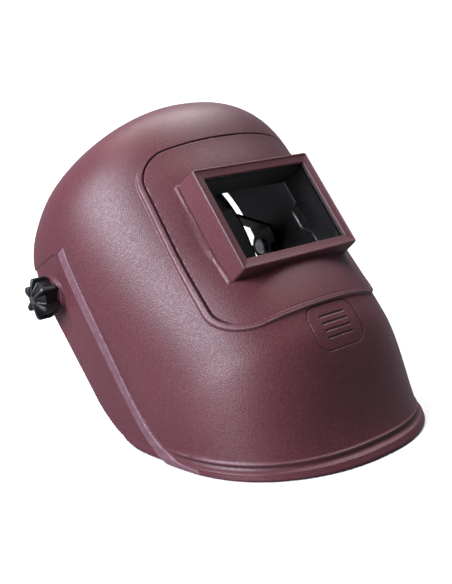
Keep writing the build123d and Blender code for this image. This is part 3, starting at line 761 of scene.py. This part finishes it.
def sheet_with_window():
    """Parameter sheet with the window's hole cut out, finer round the hole."""
    bm = parameter_sheet()
    for reach in HOLE_REACHES:
        near = np.abs(box_distance(face_places(bm)) + HOLE_INSET)
        refine(bm, near < reach)
    p = face_places(bm)
    hole = rounded_distance(
        p[:, 0], p[:, 2], HOLE_HALF_X, -HOLE_HALF_Z, HOLE_HALF_Z, HOLE_CORNER
    ) < 0
    hole &= p[:, 1] < FACE_BACK_Y
    cut = [f for f, yes in zip(bm.faces, hole) if yes]
    bmesh.ops.delete(bm, geom=cut, context="FACES")
    bm.verts.index_update()
    return bm


def open_edges(bm):
    """Point numbers of the open edges, each against the direction of its face."""
    found = []
    for edge in bm.edges:
        if edge.is_boundary:
            a, b = [v.index for v in edge.verts]
            order = [v.index for v in edge.link_faces[0].verts]
            forward = order[(order.index(a) + 1) % len(order)] == b
            found.append((b, a) if forward else (a, b))
    return found


def shell_mesh(material):
    """The helmet's moulded shell: outer surface with relief, inner surface, edges, window box."""
    bm = sheet_with_window()
    inner_keys = [tuple(v.co[:2]) for v in bm.verts]
    inner_params = np.array(inner_keys)
    inner_faces = [[v.index for v in f.verts][::-1] for f in bm.faces]
    walls = open_edges(bm)

    for reach in DETAIL_REACHES:
        refine(bm, feature_distance(face_places(bm)) < reach)
    bm.verts.index_update()
    number = {tuple(v.co[:2]): v.index for v in bm.verts}
    outer_index = [number[place] for place in inner_keys]
    outer_params = np.array([v.co[:2] for v in bm.verts])
    outer_faces = [[v.index for v in f.verts] for f in bm.faces]
    bm.free()

    outer, painted_tone = outer_position(outer_params[:, 0], outer_params[:, 1])
    outer = placed(outer)
    inner = placed(inner_position(inner_params[:, 0], inner_params[:, 1]))
    outer[:, 2] = np.maximum(outer[:, 2], 0.0)
    at_rim = inner_params[:, 1] < 1e-6
    inner[:, 2] = np.where(at_rim, 0.0, np.maximum(inner[:, 2], 0.0))
    box_points, box_faces = window_box()
    inner_start = len(outer)
    box_start = inner_start + len(inner)
    faces = outer_faces + [[i + inner_start for i in f] for f in inner_faces]
    faces += [(outer_index[a], outer_index[b], b + inner_start, a + inner_start) for a, b in walls]
    faces += [[i + box_start for i in f] for f in box_faces]
    points = np.concatenate([outer, inner, placed(box_points)])
    obj = mesh_object("shell_moulding", points, faces, material)

    # Painted highlight and painted shade on the outer surface, stored for the material.
    painted_tones = np.zeros(len(points), np.float32)
    painted_tones[:inner_start] = painted_tone
    point_values(obj, "painted_tone", painted_tones)
    # The shell's inner surface and the window box's pocket walls are marked for painted shade.
    box_x, box_depth = np.array(box_points)[:, 0], np.array(box_points)[:, 1]
    inside_shade = np.zeros(len(points), np.float32)
    inside_shade[inner_start:box_start] = 1.0
    inside_shade[box_start:] = (box_depth > BOX_LIP - 0.5) & (np.abs(box_x) < BOX_HALF_X - 1.0)
    point_values(obj, "inside_shade", inside_shade)
    return obj


# --- materials ----------------------------------------------------------------------------------


class Nodes:
    """Small helper for building a material's node tree. Texture scales are per metre."""

    def __init__(self, name):
        self.material = bpy.data.materials.new(name)
        self.material.use_nodes = True
        self.tree = self.material.node_tree
        self.shader = self.tree.nodes["Principled BSDF"]
        self.place = self.add("ShaderNodeTexCoord").outputs["Object"]

    def add(self, kind, **settings):
        node = self.tree.nodes.new(kind)
        for key, value in settings.items():
            setattr(node, key, value)
        return node

    def link(self, source, target):
        self.tree.links.new(source, target)

    def texture(self, kind, inputs, **settings):
        """Texture node in object coordinates."""
        node = self.add(kind, **settings)
        for key, value in inputs.items():
            node.inputs[key].default_value = value
        self.link(self.place, node.inputs["Vector"])
        return node.outputs

    def noise(self, scale, detail=3.0):
        inputs = {"Scale": scale, "Detail": detail, "Roughness": 0.55}
        return self.texture("ShaderNodeTexNoise", inputs)["Fac"]

    def cells(self, scale, feature="F1"):
        return self.texture("ShaderNodeTexVoronoi", {"Scale": scale}, feature=feature)["Distance"]

    def waves(self, scale, direction, distortion):
        inputs = {"Scale": scale, "Distortion": distortion}
        return self.texture("ShaderNodeTexWave", inputs, bands_direction=direction)["Fac"]

    def point_value(self, name):
        return self.add("ShaderNodeAttribute", attribute_name=name).outputs["Fac"]

    def ramp(self, source, *stops):
        """Colour ramp through (position, colour) stops."""
        node = self.add("ShaderNodeValToRGB")
        ramp = node.color_ramp
        for element, (position, colour) in zip(ramp.elements, stops):
            element.position = position
            element.color = (*colour, 1.0)
        self.link(source, node.inputs["Fac"])
        return node.outputs["Color"]

    def span(self, source, low, high, new_low, new_high):
        """The range from low to high carried over to a new one, and held at its ends."""
        node = self.add("ShaderNodeMapRange")
        node.inputs["From Min"].default_value = low
        node.inputs["From Max"].default_value = high
        node.inputs["To Min"].default_value = new_low
        node.inputs["To Max"].default_value = new_high
        self.link(source, node.inputs["Value"])
        return node.outputs["Result"]

    def mix(self, share, a, b):
        """Colour mix: a and b are colours or sockets."""
        node = self.add("ShaderNodeMix", data_type="RGBA")
        share_in, a_in, b_in = [node.inputs[k] for k in (0, 6, 7)]
        for socket, value in ((a_in, a), (b_in, b)):
            if isinstance(value, tuple):
                socket.default_value = (*value, 1.0)
            else:
                self.link(value, socket)
        self.link(share, share_in)
        return node.outputs[2]

    def maths(self, operation, a, b):
        """Sum, product or the like: a and b are numbers or sockets."""
        node = self.add("ShaderNodeMath", operation=operation)
        for socket, value in zip(node.inputs, (a, b)):
            if isinstance(value, float):
                socket.default_value = value
            else:
                self.link(value, socket)
        return node.outputs[0]

    def bump(self, height, distance, strength):
        node = self.add("ShaderNodeBump")
        node.inputs["Distance"].default_value = distance
        node.inputs["Strength"].default_value = strength
        self.link(height, node.inputs["Height"])
        return node.outputs["Normal"]

    def finish(self, colour, roughness, normal=None, **constants):
        """Feed the shader, with its constants under their sockets' names."""
        self.link(colour, self.shader.inputs["Base Color"])
        self.link(roughness, self.shader.inputs["Roughness"])
        if normal is not None:
            self.link(normal, self.shader.inputs["Normal"])
        for key, value in constants.items():
            self.shader.inputs[key.replace("_", " ")].default_value = value
        return self.material


def shell_plastic():
    """Maroon moulded fibre: leather grain, painted highlights on crests, painted shade in the
    creases and over the whole inside.
    """
    maroon, light_maroon = (0.090, 0.020, 0.026), (0.114, 0.028, 0.034)
    dark_speck, pale_speck = (0.050, 0.014, 0.020), (0.20, 0.095, 0.115)
    # Painted highlight colour for crests, painted shade colour for creases, painted shade colour
    # for the inside
    highlight_colour, shade_colour, inside_shade_colour = (0.36, 0.235, 0.275), (0.010, 0.003, 0.004), (0.010, 0.006, 0.009)
    n = Nodes("shell_plastic")
    body = n.ramp(n.noise(14.0, 4.0), (0.3, maroon), (0.7, light_maroon))
    speck = n.noise(1150.0, 2.0)
    darker = n.mix(n.span(speck, 0.28, 0.46, 0.55, 0.0), body, dark_speck)
    speckled = n.mix(n.span(speck, 0.54, 0.72, 0.0, 0.45), darker, pale_speck)
    painted_tone = n.point_value("painted_tone")
    highlight = n.maths("MULTIPLY", painted_tone, n.span(n.noise(180.0), 0.3, 0.6, 0.45, 0.8))
    # Painted shade is a negative tone, so the painted highlight is held at 0 or above.
    highlighted = n.mix(n.span(highlight, 0.0, 1.0, 0.0, 1.0), speckled, highlight_colour)
    shaded = n.mix(n.span(painted_tone, -1.0, 0.0, 1.0, 0.0), highlighted, shade_colour)
    colour = n.mix(n.point_value("inside_shade"), shaded, inside_shade_colour)
    roughness = n.span(n.noise(420.0), 0.3, 0.7, 0.36, 0.50)
    fine_grain = n.maths("MULTIPLY", n.noise(2300.0, 2.0), 0.6)
    grain = n.maths("ADD", n.cells(1450.0, "SMOOTH_F1"), fine_grain)
    return n.finish(
        colour, roughness, n.bump(grain, 0.00025, 0.6), Specular_IOR_Level=0.5,
        Sheen_Weight=0.10, Sheen_Roughness=0.45, Sheen_Tint=(0.75, 0.70, 0.85, 1.0),
    )


def knob_plastic():
    """Black nylon with painted grey highlights on its ribs' tops and round the hub."""
    black, dark_grey, highlight_grey = (0.0015, 0.0015, 0.002), (0.004, 0.004, 0.0045), (0.11, 0.115, 0.12)
    n = Nodes("knob_plastic")
    body = n.ramp(n.noise(60.0), (0.35, black), (0.7, dark_grey))
    # Painted highlight: grey on the ribs' tops and round the hub.
    rib_highlight = n.maths("MULTIPLY", n.point_value("painted_tone"), n.span(n.noise(300.0), 0.3, 0.65, 0.2, 0.8))
    roughness = n.span(n.noise(350.0), 0.3, 0.7, 0.27, 0.42)
    normal = n.bump(n.noise(2600.0, 2.0), 0.0001, 0.4)
    return n.finish(n.mix(rib_highlight, body, highlight_grey), roughness, normal, Specular_IOR_Level=0.35)


def dark_plastic(name, low, high, rough=(0.42, 0.6)):
    """Grained plastic between two greys."""
    n = Nodes(name)
    colour = n.ramp(n.noise(45.0, 4.0), (0.3, low), (0.7, high))
    roughness = n.span(n.noise(500.0), 0.3, 0.7, *rough)
    return n.finish(colour, roughness, n.bump(n.cells(1700.0), 0.00012, 0.45))


def steel():
    """Zinc-plated steel with fine turning marks and dull patches."""
    dull, bright = (0.42, 0.42, 0.43), (0.62, 0.62, 0.61)
    n = Nodes("steel")
    colour = n.ramp(n.noise(90.0), (0.3, dull), (0.7, bright))
    roughness = n.span(n.noise(700.0, 4.0), 0.3, 0.7, 0.22, 0.42)
    normal = n.bump(n.waves(900.0, "Y", 1.5), 0.00003, 0.5)
    return n.finish(colour, roughness, normal, Metallic=1.0)


def rubber():
    """Matt black rubber."""
    black, dark_grey = (0.012, 0.012, 0.012), (0.028, 0.027, 0.026)
    n = Nodes("rubber")
    colour = n.ramp(n.noise(80.0), (0.3, black), (0.7, dark_grey))
    roughness = n.span(n.noise(600.0), 0.3, 0.7, 0.62, 0.85)
    return n.finish(colour, roughness, n.bump(n.noise(1900.0), 0.0001, 0.5))


def clear_lens():
    """Clear cover plate with very faint wiping marks."""
    n = Nodes("clear_lens")
    colour = n.ramp(n.noise(25.0), (0.3, (0.985, 0.99, 0.99)), (0.7, (1.0, 1.0, 1.0)))
    roughness = n.span(n.noise(220.0, 4.0), 0.45, 0.8, 0.0, 0.03)
    return n.finish(colour, roughness, Transmission_Weight=1.0, IOR=1.05)


def pad_fabric():
    """Short-looped fabric over foam."""
    dark, light, faded = (0.020, 0.021, 0.024), (0.055, 0.056, 0.062), (0.0825, 0.084, 0.093)
    n = Nodes("sweatband_fabric")
    loops = n.cells(1300.0)
    ribs = n.waves(420.0, "Z", 0.6)
    body = n.ramp(loops, (0.0, light), (0.6, dark))
    colour = n.mix(n.span(n.noise(30.0), 0.35, 0.7, 0.0, 0.35), body, faded)
    roughness = n.span(loops, 0.0, 0.8, 0.78, 0.95)
    height = n.maths("ADD", loops, n.maths("MULTIPLY", ribs, 0.4))
    normal = n.bump(height, 0.0005, 0.8)
    return n.finish(colour, roughness, normal, Sheen_Weight=0.5, Sheen_Roughness=0.4)


def studio_floor():
    """Near-white floor that throws only a little light back up onto the object."""
    n = Nodes("studio_floor")
    seen = n.ramp(n.noise(2.0), (0.3, (0.93, 0.93, 0.93)), (0.7, (0.95, 0.95, 0.95)))
    path = n.add("ShaderNodeLightPath").outputs
    direct = n.maths("MAXIMUM", path["Is Camera Ray"], path["Is Transmission Ray"])
    colour = n.mix(direct, (0.15, 0.15, 0.16), seen)
    return n.finish(colour, n.span(n.noise(6.0), 0.3, 0.7, 0.85, 0.95))


# --- knobs --------------------------------------------------------------------------------------


def knob_section(t):
    """Shares of the radius and of the length along the outside: straight side, then domed end."""
    if t < 0.5:
        return 1.0, KNOB_SIDE * t / 0.5
    turn = (t - 0.5) / 0.5 * math.pi / 2
    radius = math.cos(turn) ** 0.9 if t < 1 else 0.0
    return radius, KNOB_SIDE + (1 - KNOB_SIDE) * math.sin(turn) ** 0.85


def knob_point(t, angle):
    """Distance from the centre plane and from the axis of a point of the outside."""
    radius, reach = knob_section(t)
    rib = smooth(abs(math.cos(KNOB_RIBS * angle / 2)) ** KNOB_RIB_POWER * KNOB_RIB_GAIN)
    chamfer = 1.0 if t > KNOB_CHAMFER_SHARE else KNOB_CHAMFER
    hub = smooth((1.0 - radius) / KNOB_HUB_SPAN)
    sink = (1 - rib) * (1 - hub) * KNOB_SINK * smooth((reach - KNOB_SINK_START) / KNOB_SINK_SPAN)
    x = KNOB_INNER + (KNOB_OUTER - KNOB_INNER) * reach - sink
    return x, KNOB_RADIUS * radius * (KNOB_CORE + (1 - KNOB_CORE) * rib) * chamfer


def around_pivot(side, x, radius, angle):
    """Point at an angle round the pivots' axis."""
    return side * x, PIVOT_Y + radius * math.cos(angle), PIVOT_Z + radius * math.sin(angle)


def knob_highlights(obj):
    """Strength of the painted highlight at each point: the ribs' tops, and a ring round the hub.
    """
    centre = placed([(0.0, PIVOT_Y, PIVOT_Z)])[0]
    off_centre = np.array([v.co for v in obj.data.vertices]) - centre
    away = np.hypot(off_centre[:, 1], off_centre[:, 2]) / (KNOB_RADIUS * MM)
    turn = np.arctan2(off_centre[:, 2], off_centre[:, 1]) + math.radians(LEAN)
    rib = np.abs(np.cos(KNOB_RIBS * turn / 2)) ** KNOB_HIGHLIGHT_POWER
    hub = smooth((KNOB_HIGHLIGHT_HUB - away) / KNOB_HIGHLIGHT_FADE)
    return np.maximum(rib, hub) * (away > KNOB_HIGHLIGHT_CLEAR)


def knob_mesh(side, word, material):
    """Star knob: thin ribs with deep hollows between them that run over the end to a hub."""
    turns, steps = 144, 40
    angles = [2 * math.pi * i / turns for i in range(turns)]
    points = []
    for j in range(steps + 1):
        for angle in angles:
            points.append(around_pivot(side, *knob_point(j / steps, angle), angle))
    underside = (
        (KNOB_INNER, KNOB_RECESS_RADIUS),
        (KNOB_INNER + KNOB_RECESS, KNOB_RECESS_RADIUS),
        (KNOB_INNER + KNOB_RECESS, KNOB_BORE_RADIUS),
        (KNOB_BORE_END, KNOB_BORE_RADIUS),
        (KNOB_BORE_END, 0.0),
    )
    rings = [0]
    for x, radius in underside:
        rings.append(len(points))
        points += [around_pivot(side, x, radius, angle) for angle in angles]
    faces = []
    for j in range(steps):
        faces += ring_faces(j * turns, (j + 1) * turns, turns)
    for low, high in zip(rings, rings[1:]):
        faces += ring_faces(high, low, turns)
    if side < 0:
        faces = [face[::-1] for face in faces]
    obj = mesh_object(f"knob_grip_{word}", placed(points), faces, material, 50.0)
    bm = bmesh.new()
    bm.from_mesh(obj.data)
    bmesh.ops.remove_doubles(bm, verts=bm.verts, dist=0.00001)
    bm.to_mesh(obj.data)
    bm.free()
    # Painted highlight strengths on the knob, for its material.
    point_values(obj, "painted_tone", knob_highlights(obj))
    return obj


# --- soft pads ----------------------------------------------------------------------------------


def vertex_vectors(mesh, name):
    """One vector per vertex: its place or its normal."""
    values = np.zeros(len(mesh.vertices) * 3, np.float32)
    mesh.vertices.foreach_get(name, values)
    return values.reshape(-1, 3)


def apply_modifiers(obj):
    """Replace the object's mesh by its evaluated mesh."""
    graph = bpy.context.evaluated_depsgraph_get()
    mesh = bpy.data.meshes.new_from_object(obj.evaluated_get(graph))
    obj.modifiers.clear()
    obj.data = mesh


def simulate(obj, rest):
    """Cloth with a little pressure and no gravity; no point moves further than the cap."""
    cloth = obj.modifiers.new("cloth", "CLOTH")
    cloth.settings.quality = 5
    cloth.settings.mass = 0.3
    cloth.settings.use_pressure = True
    cloth.settings.uniform_pressure_force = 4.0
    cloth.settings.effector_weights.gravity = 0.0
    cloth.point_cache.frame_start = 1
    cloth.point_cache.frame_end = CLOTH_FRAMES
    scene = bpy.context.scene
    for number in range(1, CLOTH_FRAMES + 1):
        scene.frame_set(number)
    apply_modifiers(obj)
    move = vertex_vectors(obj.data, "co") - rest
    length = np.linalg.norm(move, axis=1, keepdims=True)
    move *= np.minimum(1.0, PAD_SWELL / np.maximum(length, 1e-9))
    obj.data.vertices.foreach_set("co", (rest + move).ravel())
    obj.data.update()
    scene.frame_set(1)


def soft_copy(node, name, material):
    """Fabric piece that starts from a CAD solid, slightly drawn in, and swells as cloth."""
    obj = bpy.data.objects.new(name, frame["nodes"][node].data.copy())
    bpy.context.scene.collection.objects.link(obj)
    obj.data.materials.clear()
    obj.data.materials.append(material)
    bpy.context.view_layer.objects.active = obj
    remesh = obj.modifiers.new("remesh", "REMESH")
    remesh.mode = "VOXEL"
    remesh.voxel_size = PAD_VOXEL
    apply_modifiers(obj)
    rest = vertex_vectors(obj.data, "co") - vertex_vectors(obj.data, "normal") * PAD_SHRINK
    obj.data.vertices.foreach_set("co", rest.ravel())
    obj.data.update()
    simulate(obj, rest)
    smoothing = obj.modifiers.new("subdivide", "SUBSURF")
    smoothing.levels = 1
    smoothing.render_levels = 1
    apply_modifiers(obj)
    obj.data.shade_smooth()
    return obj


# --- build --------------------------------------------------------------------------------------

MAROON = shell_plastic()
BLACK = knob_plastic()
HEADGEAR = dark_plastic("headgear_plastic", (0.010, 0.010, 0.011), (0.020, 0.020, 0.022))
LINER = dark_plastic("liner_plastic", (0.006, 0.006, 0.006), (0.012, 0.012, 0.012), (0.55, 0.7))
STEEL = steel()
RUBBER = rubber()
CLEAR = clear_lens()
FABRIC = pad_fabric()

shell = shell_mesh(MAROON)
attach(shell, "helmet")
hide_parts("helmet_shell")

for side, word in ((-1, "left"), (1, "right")):
    knob = knob_mesh(side, word, BLACK)
    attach(knob, f"knob_{word}")
    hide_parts(f"side_knob_{word}")

sweatband = soft_copy("sweatband", "sweatband_cover", FABRIC)
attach(sweatband, "headgear")
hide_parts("sweatband")

nape = soft_copy("nape_pad", "nape_pad_cover", FABRIC)
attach(nape, "headgear")
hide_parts("nape_pad")

FINISHES = {
    "lens_gasket": RUBBER,
    "cover_lens": CLEAR,
    "lens_retainer": LINER,
    "retainer_wires": STEEL,
    "headband_front": HEADGEAR,
    "band_rivets": BLACK,
    "crown_stud": BLACK,
    "ratchet_housing": HEADGEAR,
    "ratchet_cover": HEADGEAR,
    "ratchet_pinion": BLACK,
    "ratchet_knob": BLACK,
    "ratchet_screw": STEEL,
    "detent_spring": STEEL,
    "outer_washer": STEEL,
    "friction_washer": RUBBER,
    "tilt_plate": BLACK,
    "pivot_bolt": STEEL,
    "side_strap": HEADGEAR,
    "strap_keeper": HEADGEAR,
    "rear_rack": HEADGEAR,
    "crown_strap": HEADGEAR,
}
for name, node in frame["nodes"].items():
    family = name.removesuffix("_left").removesuffix("_right")
    if family in FINISHES:
        node.data.materials.clear()
        node.data.materials.append(FINISHES[family])

# --- studio -------------------------------------------------------------------------------------

# Camera place and backdrop in metres, angles in degrees
CAMERA_PLACE = (-0.4954, -0.6051, 0.2743)
CAMERA_PITCH = 77.82
CAMERA_ROLL = 5.18
CAMERA_LENS = 58.44
VIEW_TURN = 40.37
FLOOR_HALF = 3.0
BACK_Y = 1.6
BACK_RADIUS = 0.8
BACK_STEPS = 12
BACK_TOP = 3.0
WORLD_COLOUR = (0.94, 0.96, 1.0, 1.0)
WORLD_STRENGTH = 0.11
WHITE = (1.0, 1.0, 1.0)
COOL = (0.86, 0.88, 1.0)


def backdrop():
    """Pale floor that curves up behind the object, turned to face the camera."""
    bend = BACK_Y - BACK_RADIUS
    rows = [(-FLOOR_HALF, 0.0), (0.0, 0.0), (bend, 0.0)]
    for i in range(1, BACK_STEPS + 1):
        a = math.radians(90.0 * i / BACK_STEPS)
        rows.append((bend + BACK_RADIUS * math.sin(a), BACK_RADIUS * (1 - math.cos(a))))
    rows.append((BACK_Y, BACK_TOP))
    turn = Matrix.Rotation(math.radians(-VIEW_TURN), 3, "Z")
    points = [turn @ Vector((x, y, z)) for y, z in rows for x in (-FLOOR_HALF, FLOOR_HALF)]
    faces = [(2 * i, 2 * i + 1, 2 * i + 3, 2 * i + 2) for i in range(len(rows) - 1)]
    return mesh_object("floor", points, faces, studio_floor(), 60.0)


def area_light(name, location, target, size, power, colour):
    """Rectangular light at a place, aimed at a target."""
    data = bpy.data.lights.new(name, "AREA")
    data.shape = "RECTANGLE"
    data.size, data.size_y = size
    data.energy = power
    data.color = colour
    obj = bpy.data.objects.new(name, data)
    bpy.context.scene.collection.objects.link(obj)
    obj.location = location
    aim = Vector(target) - Vector(location)
    obj.rotation_euler = aim.to_track_quat("-Z", "Y").to_euler()


def camera():
    """Camera at the photograph's viewing angle."""
    data = bpy.data.cameras.new("camera")
    data.sensor_width = 36.0
    data.lens = CAMERA_LENS
    data.clip_start = 0.01
    data.clip_end = 50.0
    obj = bpy.data.objects.new("camera", data)
    bpy.context.scene.collection.objects.link(obj)
    obj.location = CAMERA_PLACE
    obj.rotation_euler = [math.radians(a) for a in (CAMERA_PITCH, CAMERA_ROLL, -VIEW_TURN)]
    bpy.context.scene.camera = obj


def world():
    """Faint, even light from all round."""
    made = bpy.data.worlds.new("studio")
    made.use_nodes = True
    background = made.node_tree.nodes["Background"]
    background.inputs["Color"].default_value = WORLD_COLOUR
    background.inputs["Strength"].default_value = WORLD_STRENGTH
    bpy.context.scene.world = made
    bpy.context.scene.view_settings.view_transform = "Standard"


backdrop()
area_light("overhead", (0.7, 0.1, 1.9), (0.0, 0.1, 0.0), (0.8, 0.8), 17.0, WHITE)
area_light("key", (-1.2, 0.0, 0.80), (0.0, 0.0, 0.14), (0.7, 0.7), 38.0, COOL)
area_light("wash", (0.9, 0.9, 2.6), (1.3, 1.5, 0.0), (3.0, 1.5), 100.0, WHITE)
camera()
world()
